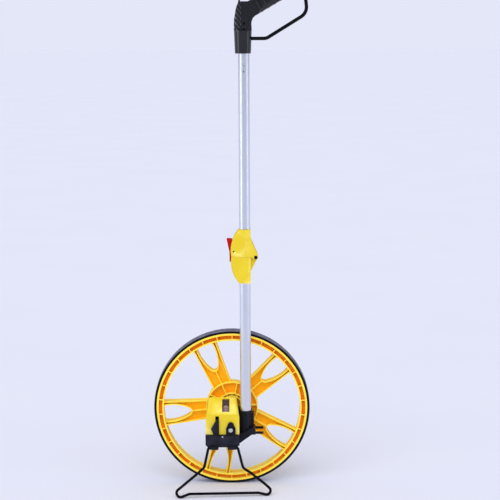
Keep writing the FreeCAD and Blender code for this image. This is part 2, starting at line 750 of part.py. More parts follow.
def make_bracket():
    """One moulding: tray, back plate, mast socket, diagonal brace and the fork for the folded mast."""
    left = -S.tray_left
    bottom = S.tray_bottom
    top = S.tray_top
    front = -S.tray_front
    plate_front = -S.plate_front
    depth = S.tray_front - S.plate_front
    tray = prism("tray_block", [[(left, top), (left, bottom + 4.5), (left + 4.5, bottom),
                                 (S.tray_right - 4.5, bottom), (S.tray_right, bottom + 4.5),
                                 (S.tray_right, top)]], plate_front, depth)
    well = box("tray_well", left + 2.5, S.tray_right - 2.5, -S.house_front + S.house_wall,
               plate_front + 1, TRAY_FLOOR, top + 1)
    pocket = box("lever_pocket", left + 3, S.tray_right - 3, front + 2, -S.house_front - 0.1,
                 TRAY_FLOOR, top + 1)
    plate = box("back_plate", -48, 41, plate_front, -S.plate_back, bottom, 177)
    corners = [prism("plate_top_corner", [[(11.2, 180), (42, 180), (42, 160), (14.5, 162)]],
                     -S.plate_back + 1, 6),
               prism("plate_low_corner", [[(S.tray_right - 2, bottom - 1), (42, bottom - 1), (42, 115)]],
                     -S.plate_back + 1, 6)]
    socket = rod("socket_wall", S.socket_radius, S.socket_top - 111, S.mast_x, S.mast_y, 111)
    bridge = box("socket_bridge", S.mast_x - 9, S.mast_x + 9, S.mast_y + 8, plate_front + 1, 111, 158)
    flange = box("socket_flange", S.mast_x + 11.5, S.mast_x + 16.6, S.mast_y - 4, plate_front + 1, 119, 155)
    brace = prism("brace", [[(S.tray_right - 1.5, bottom + 3), (S.tray_right - 1.5, 115.5),
                             (S.mast_x - 8, 117), (44, 129), (48, 126), (48, 114), (40.5, 114)]],
                  -28, 32)
    brace_gap = prism("brace_gap", [[(46, 133), (60, 133), (60, 113), (50, 113)]], -33.7, 16.6)
    fingers = [box("rear_finger", 44, 64, -33.7, -29.7, 119.2, 123.8),
               box("front_finger", 44, 64, -54.3, -50.3, 114, 118.4)]
    bosses = []
    for i, x in enumerate((-44, -8)):
        bosses.append(rod(f"stand_boss_{i}", S.stand_boss_radius, S.stand_boss_length, x, S.stand_y,
                          S.stand_height, ALONG_X))
        bosses.append(box(f"stand_boss_root_{i}", x, x + S.stand_boss_length, S.stand_y, front + 3,
                          S.stand_height - 3.6, S.stand_height + 3.6))
    holes = [
        rod("mast_hole", S.tube_radius + 0.05, 60, S.mast_x, S.mast_y, S.lower_tube_bottom),
        rod("axle_hole", S.stub_radius + 0.05, 6, 0, -25, AXLE_Z, ALONG_Y),
        rod("bush_hole", 3.0, 6, INPUT_X, -25, S.input_height, ALONG_Y),
        rod("stand_hole", S.stand_wire_radius + 0.05, 74, -54, S.stand_y, S.stand_height, ALONG_X),
        rod("tube_screw_hole", 2.05, 14, S.mast_x, -32, S.tube_screw_height, ALONG_Y),
        rod("tube_screw_seat", 4.05, 4, S.mast_x, -23, S.tube_screw_height, ALONG_Y),
        rod("tray_screw_hole", 1.25, 9, S.tray_screw_x, front - 1, S.tray_screw_height, ALONG_Y)]
    for i, (x, z) in enumerate(HOUSING_SCREWS):
        holes.append(rod(f"housing_hole_{i}", 1.5, 6, x, -25, z, ALONG_Y))
        holes.append(rod(f"housing_seat_{i}", 3.1, 3, x, -22, z, ALONG_Y))
    solid = fuse("bracket_solid", [tray, plate, socket, bridge, flange, brace] + fingers + bosses)
    keep(cut("bracket", solid, [well, pocket, brace_gap] + corners + holes))


def make_housing():
    """The counter's cover: open below and behind, with a sloping top and a window in it."""
    wall = float(S.house_wall)
    left = -S.house_left
    right = S.house_right
    front = -S.house_front
    rear = -S.plate_front
    low = S.tray_top
    depth = S.house_front - S.plate_front
    # the side outline in Y and Z runs the whole width, then the ends lean in towards the top and back
    outline = doc.addObject("Sketcher::SketchObject", "housing_profile")
    outline.Placement = Placement(Vector(0, 0, 0), END_PLANE)
    draw(outline, [[(front, low), (rear, low), (rear, S.house_back_top), (front, S.house_front_top)]])
    block = doc.addObject("Part::Extrusion", "housing_block")
    block.Base = outline
    block.DirMode = "Normal"
    block.Solid = True
    bind(block, "LengthFwd", S.house_left + S.house_right)
    place(block, left)
    trims = []
    for i, (x, lean) in enumerate(((left, 1), (right, -1))):
        wedge = doc.addObject("Sketcher::SketchObject", f"housing_lean_profile_{i}")
        draw(wedge, [[(x - 5 * lean, front - 1), (x - 0.1 * lean, front - 1),
                      (x + 4.4 * lean, rear + 1), (x - 5 * lean, rear + 1)]])
        lean_cut = doc.addObject("Part::Extrusion", f"housing_lean_{i}")
        lean_cut.Base = wedge
        lean_cut.DirMode = "Normal"
        lean_cut.Solid = True
        lean_cut.LengthFwd = 80
        trims.append(place(lean_cut, 0, 0, low - 1))
    leaned = cut("housing_leaned", block, trims)

    def long_top_edge(edge):
        ends = [v.Point for v in edge.Vertexes]
        return len(ends) == 2 and abs(ends[0].z - ends[1].z) > 20 and abs(ends[0].y - ends[1].y) > 20

    rounded_block = rounded("housing_rounded", leaned, 5, long_top_edge)
    doc.recompute()
    outer = rounded_block.Shape
    lower_faces = [f for f in outer.Faces
                   if f.normalAt(0, 0).z < -0.9 or f.normalAt(0, 0).y > 0.9]
    shell = outer.makeThickness(lower_faces, -wall, 1e-3)
    extras = []
    for x, z in HOUSING_SCREWS:
        extras.append(Part.makeCylinder(3.6, 12, Vector(x, float(rear) - 12, z), Vector(0, 1, 0)))
    pivot = Vector(float(S.pivot_x), float(front) + 0.5, float(S.pivot_height))
    extras.append(Part.makeCylinder(4.5, 8, pivot, Vector(0, 1, 0)))
    shell = shell.fuse([extra.common(outer) for extra in extras])
    # openings: the window, the lever's slot, and the screw holes; the window's own Z runs up the slope
    rise = float(S.house_back_top) - float(S.house_front_top)
    pitch = math.atan2(rise, float(depth))
    up_slope = Rotation(Vector(1, 0, 0), math.degrees(pitch) - 90)
    run = float(S.window_run)
    window_centre = Vector(float(INPUT_X), float(front) + run * math.cos(pitch),
                           float(S.house_front_top) + run * math.sin(pitch))
    window = Part.makeBox(float(S.window_width), 8, float(S.window_length),
                          Vector(-float(S.window_width) / 2, -4, -float(S.window_length) / 2))
    window.Placement = Placement(window_centre, up_slope)
    slot = Part.makeBox(7.3, 6, 155 - float(low), Vector(-33, float(front) - 1, float(low) - 1))
    tools = [window, slot]
    for x, z in HOUSING_SCREWS:
        tools.append(Part.makeCylinder(1.5, 12, Vector(x, float(rear) - 11, z), Vector(0, 1, 0)))
    tools.append(Part.makeCylinder(1.5, 9, Vector(pivot.x, float(front) - 1, pivot.z), Vector(0, 1, 0)))
    keep(shaped("counter_housing", shell.cut(tools)))
    lens = Part.makeBox(float(S.window_width) + 5, 1.2, float(S.window_length) + 3,
                        Vector(-float(S.window_width) / 2 - 2.5, 0, -float(S.window_length) / 2 - 1.5))
    lens_top = window_centre - up_slope.multVec(Vector(0, -wall, 0))
    keep(shaped("counter_window", lens, Placement(lens_top, up_slope)))


def countersunk(label, x, y, z, shank, head, length, rotation):
    """A screw whose flat head lies at the start of its own Z axis."""
    profile = [(0, 0), (head, 0), (head, 0.5), (shank, 2), (shank, length - 0.6), (shank - 0.5, length),
               (0, length)]
    return turned(label, profile, x, y, z, rotation)


def make_bracket_fasteners():
    """Screws that hold the housing, the tube and the tray's front lip."""
    screws = [countersunk(f"housing_screw_{i}", x, -S.plate_back, z, 1.45, 3.05, 13.5, TOWARDS_FRONT)
              for i, (x, z) in enumerate(HOUSING_SCREWS)]
    keep(group("housing_screws", screws))
    keep(countersunk("tube_screw", S.mast_x, -S.plate_back, S.tube_screw_height, 2, 4, 15, TOWARDS_FRONT))
    head = [(0, 0), (1.7, 0), (1.7, 0.6), (1.2, 1), (1.2, 8), (0, 8)]
    keep(turned("tray_screw", head, S.tray_screw_x, -S.tray_front - 1, S.tray_screw_height, ALONG_Y))


# ---------------------------------------------------------------- reset lever

def make_reset_lever():
    """A rocker on a shoulder screw: an arched plate, an arm behind the tray's lip, and a thumb piece."""
    rear = -68.2
    thick = S.lever_thickness
    px = S.pivot_x
    pz = S.pivot_height
    arch = prism("lever_arch", [[(px - 9.2, 99), (px + 9.9, 99), (px + 9.9, pz + 3), (px + 5.4, pz + 13.4),
                                 Arc(px - 4.8, pz + 13.4, 5.8), (px - 9.2, pz + 3)]], rear, thick)
    arm = prism("lever_arm", [rectangle(-30, px - 5, 99, 107)], rear, thick)
    thumb = prism("thumb_piece", [[(-26.6, 99), (-26.6, 149), (-30.6, 149), (-42, 129), (-36.4, 117),
                                   (-36.4, 99)]], rear, thick)
    stem = box("lever_stem", -32.5, -29.5, rear - 1, -56, 128, 136)
    solid = fuse("lever_solid", [arch, arm, thumb, stem])
    bore = rod("lever_bore", 2.55, 10, px, -75, pz, ALONG_Y)
    recess = rod("lever_recess", 6.2, 3, px, rear - thick - 2, pz, ALONG_Y)
    keep(cut("reset_lever", solid, [bore, recess]))
    screw = [(0, 0), (4, 0), (4.4, 0.4), (4.4, 1.6), (2.5, 1.6), (2.5, 7.5), (1.45, 7.5), (1.45, 13.5),
             (0, 13.5)]
    keep(turned("reset_screw", screw, px, -73.6, pz, ALONG_Y))
    spring = coil(3.4, 0.3, 2, 0.7)
    keep(shaped("reset_spring", spring,
                Placement(Vector(float(px), -67.85, float(pz)), ALONG_Y)))


# ---------------------------------------------------------------- kickstand

def make_stand():
    """One bent wire: inturned ends in the tray's bosses, a waist, and two rounded foot loops."""
    wire = float(S.stand_wire_radius)
    hinge = Vector(0, float(S.stand_y), float(S.stand_height))
    # each outline point is (x, distance down the leg), and share is 1 where the wire is on the ground;
    # the twist sets the left foot ahead of the right one
    outline = [(-38, 0), (-47.2, 0), (-55.4, 38.5), (-69, 50.5), (-112, 84.5), (-106.5, 96.9),
               (-84.4, 89.6), (53, 91.2), (71.5, 95.8), (81, 87.5), (66, 73.5), (37, 50), (22.5, 40.5),
               (12, 0), (3, 0)]
    bends = [3.6, 14, 14, 7.5, 7.5, 12, 12, 7.5, 7.5, 14, 14, 14, 3.4]
    length = math.hypot(float(S.foot_y) - hinge.y, hinge.z - wire)
    points = []
    for x, down in outline:
        share = down / length
        sideways = (x + 17) / 90
        y = hinge.y + share * (float(S.foot_y) - hinge.y) + share * sideways * float(S.foot_twist)
        points.append(Vector(x, y, hinge.z - share * (hinge.z - wire)))
    keep(shaped("kickstand", bent_rod(points, bends, wire)))


# ---------------------------------------------------------------- mast

def tube(label, bottom, top):
    outer = rod(f"{label}_outside", S.tube_radius, top - bottom, S.mast_x, S.mast_y, bottom)
    inner = rod(f"{label}_inside", S.tube_radius - S.tube_wall, top - bottom + 2, S.mast_x, S.mast_y,
                bottom - 1)
    return outer, inner


def make_tubes():
    """The two aluminium tubes, with their screw and rivet holes."""
    outer, inner = tube("lower_tube", S.lower_tube_bottom, S.lower_tube_top)
    screw_hole = rod("lower_tube_screw_hole", 2.05, 10, S.mast_x, -36, S.tube_screw_height, ALONG_Y)
    rivet_hole = rod("lower_tube_rivet_hole", S.rivet_radius + 0.05, 20, S.mast_x, S.mast_y,
                     S.lower_rivet_height, ALONG_Y)
    keep(cut("lower_tube", outer, [inner, screw_hole, rivet_hole]))
    outer, inner = tube("upper_tube", S.upper_tube_bottom, S.upper_tube_top)
    rivet_hole = rod("upper_tube_rivet_hole", S.rivet_radius + 0.05, 20, S.mast_x, S.mast_y,
                     S.upper_rivet_height, ALONG_Y)
    button_hole = rod("button_hole", S.button_radius, 10, S.mast_x, S.mast_y - 14, S.button_height, ALONG_Y)
    vent_hole = rod("vent_hole", 1.3, 10, S.mast_x, S.mast_y - 14, S.vent_height, ALONG_Y)
    keep(cut("upper_tube", outer, [inner, rivet_hole, button_hole, vent_hole]))
    # blind rivets, set from behind through the joint's rear wall and the tube's
    tail = 4.5
    reach = S.joint_depth / 2 - tail
    for label, height in (("lower_joint_rivet", S.lower_rivet_height),
                          ("upper_joint_rivet", S.upper_rivet_height)):
        profile = [(0, 0), (S.rivet_radius, 0), (S.rivet_radius, reach), (3.6, reach), (3, reach + 1),
                   (0, reach + 1)]
        keep(turned(label, profile, S.mast_x, S.mast_y + tail, height, ALONG_Y))
    button = [(0, 0), (S.button_radius - 0.8, 0), (S.button_radius, 0.7), (S.button_radius, 5), (0, 5)]
    keep(turned("spring_button", button, S.mast_x, S.mast_y - S.tube_radius - 1.2, S.button_height, ALONG_Y))


def rounded_block(label, outline):
    """A joint half's block with its bowed side rounded at the front and the rear."""
    block = prism(label, [outline], MAST_REAR, S.joint_depth)

    def bowed(edge):
        return isinstance(edge.Curve, Part.Circle) and edge.Length > 30

    return rounded(f"{label}_rounded", block, S.joint_round, bowed)


def make_lower_joint():
    """The half riveted to the lower tube; it has the middle knuckle and a recess for the latch's hook."""
    left = S.mast_x - S.joint_left
    right = S.mast_x + S.joint_right
    split = S.joint_split
    pin_z = split - S.hinge_drop
    block = rounded_block("lower_block", [(right, S.joint_bottom), (right, split), (left, split),
                                          Arc(S.mast_x - 11, S.joint_bottom, S.joint_outline_radius)])
    ear = prism("lower_ear", [[(right - 2, 447), (right, 447), (HINGE_X + 3.2, pin_z - 3.4),
                               Arc(HINGE_X - 1, pin_z + 4.4, S.knuckle_radius), (right - 2, pin_z)]],
                S.mast_y + S.ear_depth / 2, S.ear_depth)
    strip = prism("lower_strip", [rectangle(right - 4.5, right, 446, split - 0.4)],
                  MAST_REAR + S.strip_rise, S.joint_depth + S.strip_rise * 2)
    ear_top = prism("lower_ear_top", [rectangle(right - 3, right + 0.05, split, split + 8)],
                    MAST_REAR + 1, S.joint_depth + 2)
    recess = prism("hook_recess", [[(left - 5, split + 1), (left - 5, 461), (left + 7, 461),
                                    (left + 7, 471), (left + 4.9, 473), (left + 4.9, split + 1)]],
                   S.mast_y + S.latch_width / 2 + 0.3, S.latch_width + 0.6)
    bore = rod("lower_joint_bore", S.tube_radius + 0.05, 60, S.mast_x, S.mast_y, S.lower_tube_top - 60)
    rivet_hole = rod("lower_joint_rivet_hole", S.rivet_radius, 20, S.mast_x, S.mast_y,
                     S.lower_rivet_height, ALONG_Y)
    pin_hole = rod("lower_pin_hole", S.hinge_radius, 40, HINGE_X, S.mast_y - 20, pin_z, ALONG_Y)
    solid = fuse("lower_joint_solid", [block, ear, strip])
    keep(cut("lower_joint", solid, [ear_top, recess, bore, rivet_hole, pin_hole]))


def make_upper_joint():
    """The half riveted to the upper tube; it has the two outer knuckles and the slot for the latch."""
    left = S.mast_x - S.joint_left
    right = S.mast_x + S.joint_right
    split = S.joint_split
    pin_z = split - S.hinge_drop
    bottom = split + S.hinge_drop
    pad_rear = MAST_REAR + S.pad_rise
    pad_depth = S.joint_depth + S.pad_rise * 2
    block = rounded_block("upper_block", [Arc(left, bottom, S.joint_outline_radius), (right, bottom),
                                          (right, S.joint_top), (S.mast_x - 11.8, S.joint_top)])
    pad = prism("upper_pad", [[(S.mast_x - 0.7, bottom), (right, bottom), (right, 512),
                               (S.mast_x + 3, 513), (S.mast_x - 0.7, 509)]], pad_rear, pad_depth)
    ears = prism("upper_ears", [[(right - 2, bottom), (right + 0.6, bottom), (HINGE_X - 3, pin_z - 3.4),
                                 Arc(HINGE_X + 4.3, pin_z + 1.8, S.knuckle_radius), (right, 512),
                                 (right - 2, 512)]], pad_rear, pad_depth)
    ear_gap = prism("upper_ear_gap", [rectangle(right, HINGE_X + 8, 460, 520)],
                    S.mast_y + S.ear_depth / 2 + 0.2, S.ear_depth + 0.4)
    slot = prism("latch_slot", [[(left - 8, split - 1), (left - 8, 520), (left + 7.5, 520),
                                 (left + 9.5, 498), (left + 9.5, split - 1)]],
                 S.mast_y + S.latch_width / 2 + 0.3, S.latch_width + 0.6)
    spring_hole = rod("spring_hole", 3.1, 7, left + 6, S.mast_y, SPRING_HEIGHT, ALONG_X)
    bore = rod("upper_joint_bore", S.tube_radius + 0.05, 60, S.mast_x, S.mast_y, S.upper_tube_bottom)
    rivet_hole = rod("upper_joint_rivet_hole", S.rivet_radius, 20, S.mast_x, S.mast_y,
                     S.upper_rivet_height, ALONG_Y)
    pin_hole = rod("upper_pin_hole", S.hinge_radius + 0.05, 40, HINGE_X, S.mast_y - 20, pin_z, ALONG_Y)
    latch_hole = rod("latch_pin_hole", S.latch_pin_radius, 34, LATCH_X, S.mast_y - 17, S.latch_height,
                     ALONG_Y)
    solid = fuse("upper_joint_solid", [block, pad, ears])
    keep(cut("upper_joint", solid, [ear_gap, slot, spring_hole, bore, rivet_hole, pin_hole, latch_hole]))


def make_latch():
    """The hinge pin, and the sprung lever on its own pin that hooks under the lower half."""
    reach = S.joint_depth / 2 + S.pad_rise + 0.8
    keep(rod("hinge_pin", S.hinge_radius, reach * 2, HINGE_X, S.mast_y - reach,
             S.joint_split - S.hinge_drop, ALONG_Y))
    keep(rod("latch_pin", S.latch_pin_radius, 26, LATCH_X, S.mast_y - 13, S.latch_height, ALONG_Y))
    blade = prism("latch_blade", [[(LATCH_X - 14.2, 512.4), (LATCH_X - 8.6, 486), (LATCH_X - 8.2, 466),
                                   (LATCH_X - 3.2, 466), (LATCH_X - 3.2, 469), (LATCH_X - 5, 471),
                                   (LATCH_X - 5, 478), (LATCH_X - 2, 481), (LATCH_X + 3.2, 485),
                                   (LATCH_X + 3, 491), (LATCH_X + 0.5, 497), (LATCH_X - 4, 512.4)]],
                  S.mast_y + S.latch_width / 2, S.latch_width)
    bore = rod("latch_bore", S.latch_pin_radius + 0.05, 14, LATCH_X, S.mast_y - 7, S.latch_height, ALONG_Y)
    keep(cut("latch_lever", blade, [bore]))
    spring_end = Vector(float(LATCH_X) + 7.7, float(S.mast_y), SPRING_HEIGHT)
    keep(shaped("latch_spring", coil(2.5, 0.35, 4, 1.4), Placement(spring_end, TOWARDS_LEFT)))


# ---------------------------------------------------------------- grip

def make_grip():
    """A pistol grip in two halves on the upper tube, their screws, end plug and the wire hand guard."""
    angle = math.radians(float(S.handle_angle))
    along = Vector(math.cos(angle), 0, math.sin(angle))
    across = Vector(-math.sin(angle), 0, math.cos(angle))
    under = Vector(58, 0, 954.2)
    under_end = under + along * 92
    top_end = under_end + across * float(S.handle_thickness)
    neck_left = S.grip_x - S.grip_neck_radius
    neck_right = S.grip_x + S.grip_neck_radius
    outline = [(neck_left, 921), (neck_right, 921), (43.4, 938), (46.6, 946.2), (52, 951.4),
               (under.x, under.z), (under.x + 12, under.z + 20), (43, 980.2), (40, 978.3), (21.5, 978.3),
               (21.2, 991), (17.4, 991), (18, 978.3), (13, 965.6), (neck_left + 0.1, 942.5)]
    rear = S.mast_y + S.grip_half_depth
    front = S.mast_y - S.grip_half_depth
    blank = prism("grip_blank", [outline], rear, 2 * S.grip_half_depth)
    column = box("grip_column", neck_left, 90, front, rear, 915, 1000)

    def left_upright(edge):
        ends = [v.Point for v in edge.Vertexes]
        return all(abs(point.x - float(neck_left)) < 0.01 for point in ends) and edge.Length > 80

    trunk = common("grip_trunk", blank, rounded("grip_round_column", column, 13, left_upright))
    bar = box("handle_bar", 0, 104, 0, 2 * S.grip_half_depth, 0, S.handle_thickness)

    def lengthwise(edge):
        ends = [v.Point for v in edge.Vertexes]
        return abs(ends[0].x - ends[1].x) > 100

    handle = rounded("grip_handle", bar, 10, lengthwise)
    bar_start = under - along * 12
    place(handle, bar_start.x, front, bar_start.z, Rotation(Vector(0, 1, 0), -float(S.handle_angle)))
    socket = doc.addObject("Part::Cone", "grip_socket")
    bind(socket, "Radius1", S.grip_bottom_radius)
    bind(socket, "Radius2", S.grip_neck_radius)
    bind(socket, "Height", S.grip_neck - S.grip_bottom)
    place(socket, S.grip_x, S.mast_y, S.grip_bottom)
    solid = fuse("grip_solid", [trunk, handle, socket])
    bore = rod("grip_bore", S.tube_radius + 0.05, 60, S.mast_x, S.mast_y, S.upper_tube_top - 60)
    guard = bent_rod([Vector(40, float(S.mast_y), 906.6), Vector(72.5, float(S.mast_y), 906.6),
                      Vector(152.2, float(S.mast_y), 955.4), Vector(149, float(S.mast_y), 986),
                      Vector(122, float(S.mast_y), 1002.5)], [18, 22, 16], float(S.guard_radius))
    keep(shaped("hand_guard", guard))
    guard_holes = [rod("guard_lower_hole", S.guard_radius, 12, 38, S.mast_y, 906.6, ALONG_X),
                   shaped("guard_upper_hole", guard.copy())]
    screw_places = [(29, 924.1), (29, 936.6), (88.7, 990.8), (118.9, 1008.5)]
    screw_holes = [rod(f"grip_screw_hole_{i}", 1.5, 26, x, S.mast_y - 13, z, ALONG_Y)
                   for i, (x, z) in enumerate(screw_places)]
    screw_seats = [rod(f"grip_screw_seat_{i}", 2.8, 4, x, S.mast_y - S.grip_half_depth - 1, z, ALONG_Y)
                   for i, (x, z) in enumerate(screw_places)]
    plug_centre = (under_end + top_end) / 2 + Vector(0, float(S.mast_y), 0)
    plug_turn = Rotation(Vector(0, 1, 0), 90 - float(S.handle_angle))
    plug_hole = rod("plug_hole", 7, 6, plug_centre.x - 4 * along.x, S.mast_y, plug_centre.z - 4 * along.z,
                    plug_turn)
    drilled = cut("grip_drilled", solid, [bore] + guard_holes + screw_holes + screw_seats + [plug_hole])
    front_space = box("front_space", 0, 200, S.mast_y - 40, S.mast_y, 870, 1100)
    rear_space = box("rear_space", 0, 200, S.mast_y, S.mast_y + 40, 870, 1100)
    keep(common("grip_front_half", drilled, front_space))
    keep(common("grip_rear_half", drilled, rear_space))
    screws = []
    for i, (x, z) in enumerate(screw_places):
        profile = [(0, 0), (2.7, 0), (2.7, 1.6), (1.45, 1.6), (1.45, 20), (0, 20)]
        screws.append(turned(f"grip_screw_{i}", profile, x, S.mast_y - S.grip_half_depth + 1.4, z, ALONG_Y))
    keep(group("grip_screws", screws))
    plug = [(0, 0), (7, 0), (7, 4), (8.5, 4), (8, 5.5), (0, 6)]
    keep(turned("handle_plug", plug, plug_centre.x - 4 * along.x, S.mast_y, plug_centre.z - 4 * along.z,
                plug_turn))


make_wheel()
make_tyre()
make_hub_fittings()
make_drive()
make_drums()
make_pinions()
make_counter_frame()
make_bracket()
make_housing()
make_bracket_fasteners()
make_reset_lever()
make_stand()
make_tubes()
make_lower_joint()
make_upper_joint()
make_latch()
make_grip()
doc.recompute()

# ---------------------------------------------------------------- check and write

for item in doc.Objects:
    if "Invalid" in item.State or "Error" in item.State:
        raise RuntimeError(f"{item.Label} failed: {item.State}")
for item in parts:
    if item.Shape.isNull() or not item.Shape.isValid() or not item.Shape.Solids:
        raise RuntimeError(f"{item.Label} has no valid solid")
os.makedirs("parts", exist_ok=True)
for item in parts:
    item.Shape.exportStep(f"parts/{item.Label}.step")
    print(f"{item.Label}: {len(item.Shape.Solids)} solid(s), {item.Shape.Volume / 1000:.2f} cm3")
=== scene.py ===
import json
import math

import bmesh
import bpy
from mathutils import Matrix, Vector


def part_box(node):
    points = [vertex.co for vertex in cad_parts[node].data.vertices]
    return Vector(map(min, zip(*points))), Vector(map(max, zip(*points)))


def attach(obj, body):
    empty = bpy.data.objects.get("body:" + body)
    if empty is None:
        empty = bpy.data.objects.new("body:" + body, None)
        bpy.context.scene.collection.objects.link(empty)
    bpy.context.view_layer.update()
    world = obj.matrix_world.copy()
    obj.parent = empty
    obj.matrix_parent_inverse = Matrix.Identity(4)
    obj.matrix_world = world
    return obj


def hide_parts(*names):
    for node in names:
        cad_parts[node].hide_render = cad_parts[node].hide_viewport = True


# A folding measuring wheel. Metres, in the CAD frame: X along the rolling direction, Y along the axle
# (-Y is the counter's side), Z up.

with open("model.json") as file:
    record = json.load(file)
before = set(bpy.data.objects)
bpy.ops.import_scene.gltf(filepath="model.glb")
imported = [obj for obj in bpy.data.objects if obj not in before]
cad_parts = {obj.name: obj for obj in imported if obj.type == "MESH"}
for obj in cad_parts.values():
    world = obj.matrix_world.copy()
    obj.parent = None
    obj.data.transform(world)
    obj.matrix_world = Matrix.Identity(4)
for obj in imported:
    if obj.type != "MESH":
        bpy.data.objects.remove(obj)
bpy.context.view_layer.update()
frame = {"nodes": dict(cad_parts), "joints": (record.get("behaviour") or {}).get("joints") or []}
nodes = frame["nodes"]
joints = {joint["name"]: joint for joint in frame["joints"]}

MM = 0.001
WHEEL_RADIUS = joints["wheel_spin"]["pos_m"][2]
APEX = Vector(joints["units_spin"]["pos_m"])
DRUM_AXIS = Vector(joints["units_spin"]["axis"]).normalized()
MAST_LOW, MAST_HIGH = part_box("upper_tube")
MAST_X = (MAST_LOW.x + MAST_HIGH.x) / 2
MAST_Y = (MAST_LOW.y + MAST_HIGH.y) / 2
TUBE_RADIUS = (MAST_HIGH.x - MAST_LOW.x) / 2


# ---------------------------------------------------------------- shader helpers

def srgb(red, green, blue):
    """A colour picked as 8-bit sRGB, given in linear light."""
    def linear(value):
        share = value / 255
        return share / 12.92 if share <= 0.04045 else ((share + 0.055) / 1.055) ** 2.4
    return (linear(red), linear(green), linear(blue), 1.0)


# A Mix node's sockets when it mixes colours.
MIX_SHARE = 0
MIX_FIRST = 6
MIX_SECOND = 7
MIX_RESULT = 2

COAT_ROUGHNESS = 0.1
NOISE_ROUGHNESS = 0.55
EDGE_POINTINESS = (0.52, 0.60)


class Shader:
    """One Principled material, with short calls for the nodes that feed it."""

    def __init__(self, name, roughness=0.4, metallic=0.0, specular=0.5, coat=0.0):
        self.material = bpy.data.materials.new(name)
        self.material.use_nodes = True
        self.tree = self.material.node_tree
        self.principled = self.tree.nodes["Principled BSDF"]
        self.set("Roughness", roughness)
        self.set("Metallic", metallic)
        self.set("Specular IOR Level", specular)
        self.set("Coat Weight", coat)
        self.set("Coat Roughness", COAT_ROUGHNESS)
        self.coordinates = self.node("ShaderNodeTexCoord").outputs["Object"]

    def node(self, kind, **settings):
        made = self.tree.nodes.new(kind)
        for key, value in settings.items():
            setattr(made, key, value)
        return made

    def set(self, socket, value):
        """Put a value on the shader's own socket, or link a node's output to it."""
        self.feed(self.principled, socket, value)

    def feed(self, node, socket, value):
        """Put a value on a node's socket, or link another node's output to it."""
        if isinstance(value, bpy.types.NodeSocket):
            self.tree.links.new(value, node.inputs[socket])
        else:
            node.inputs[socket].default_value = value

    def stretched(self, scale):
        """Object coordinates scaled per axis."""
        mapping = self.node("ShaderNodeMapping")
        self.feed(mapping, "Vector", self.coordinates)
        self.feed(mapping, "Scale", scale)
        return mapping.outputs["Vector"]

    def noise(self, scale, detail=3.0, vector=None):
        made = self.node("ShaderNodeTexNoise")
        self.feed(made, "Vector", vector or self.coordinates)
        self.feed(made, "Scale", scale)
        self.feed(made, "Detail", detail)
        self.feed(made, "Roughness", NOISE_ROUGHNESS)
        return made.outputs["Fac"]

    def math(self, operation, first, second=0.0):
        made = self.node("ShaderNodeMath", operation=operation)
        self.feed(made, 0, first)
        self.feed(made, 1, second)
        return made.outputs["Value"]

    def spread(self, value, low, high, to_low=0.0, to_high=1.0):
        """Map low..high to to_low..to_high, held at both ends."""
        made = self.node("ShaderNodeMapRange")
        self.feed(made, "Value", value)
        self.feed(made, "From Min", low)
        self.feed(made, "From Max", high)
        self.feed(made, "To Min", to_low)
        self.feed(made, "To Max", to_high)
        return made.outputs["Result"]

    def mix(self, share, first, second):
        """The first colour at share 0, the second at share 1."""
        made = self.node("ShaderNodeMix", data_type="RGBA")
        for socket, value in ((MIX_SHARE, share), (MIX_FIRST, first), (MIX_SECOND, second)):
            self.feed(made, socket, value)
        return made.outputs[MIX_RESULT]

    def ramp(self, value, stops):
        made = self.node("ShaderNodeValToRGB")
        self.feed(made, "Fac", value)
        elements = made.color_ramp.elements
        while len(elements) < len(stops):
            elements.new(0.5)
        for element, (place, colour) in zip(elements, stops):
            element.position = place
            element.color = colour
        return made.outputs["Color"]

    def axis(self, letter, vector=None):
        """One component of a vector, which is the place on the object unless another is given."""
        made = self.node("ShaderNodeSeparateXYZ")
        self.feed(made, "Vector", vector or self.coordinates)
        return made.outputs[letter]

    def radius(self):
        """The distance from the wheel's axle."""
        side = self.axis("X")
        height = self.math("SUBTRACT", self.axis("Z"), WHEEL_RADIUS)
        squares = self.math("ADD", self.math("MULTIPLY", side, side), self.math("MULTIPLY", height, height))
        return self.math("SQRT", squares)

    def edges(self):
        """1 on outward edges, 0 elsewhere."""
        return self.spread(self.node("ShaderNodeNewGeometry").outputs["Pointiness"], *EDGE_POINTINESS)

    def bump(self, height, strength, distance, under=None):
        """A bumped normal, on top of another one if it is given."""
        made = self.node("ShaderNodeBump")
        self.feed(made, "Height", height)
        self.feed(made, "Strength", strength)
        self.feed(made, "Distance", distance)
        if under is not None:
            self.feed(made, "Normal", under)
        return made.outputs["Normal"]


def moulded(name, colour, shade, edge, roughness, grain=900.0, grain_depth=0.12, coat=0.0, edge_highlight_share=0.5,
            specular=0.5):
    """Moulded plastic: cloudy colour, fine grain, faint flow lines, and a painted highlight on its edges,
    mottled by noise.
    """
    shader = Shader(name, coat=coat, specular=specular)
    cloud = shader.noise(14.0, 4.0)
    tinted = shader.mix(shader.spread(cloud, 0.35, 0.68), colour, shade)
    # Painted highlight: edges are lightened towards the edge colour, broken up by noise.
    edge_highlight = shader.math("MULTIPLY", shader.edges(), shader.spread(shader.noise(60.0), 0.3, 0.7, 0.2, 1.0))
    shader.set("Base Color", shader.mix(shader.math("MULTIPLY", edge_highlight, edge_highlight_share), tinted, edge))
    patches = shader.noise(38.0, 5.0)
    shader.set("Roughness", shader.spread(patches, 0.3, 0.7, roughness - 0.06, roughness + 0.09))
    flow = shader.bump(shader.noise(3.0, 2.0, vector=shader.stretched((9, 9, 40))), 0.12, 0.0003)
    shader.set("Normal", shader.bump(shader.noise(grain, 2.0), grain_depth, 0.0002, flow))
    return shader.material
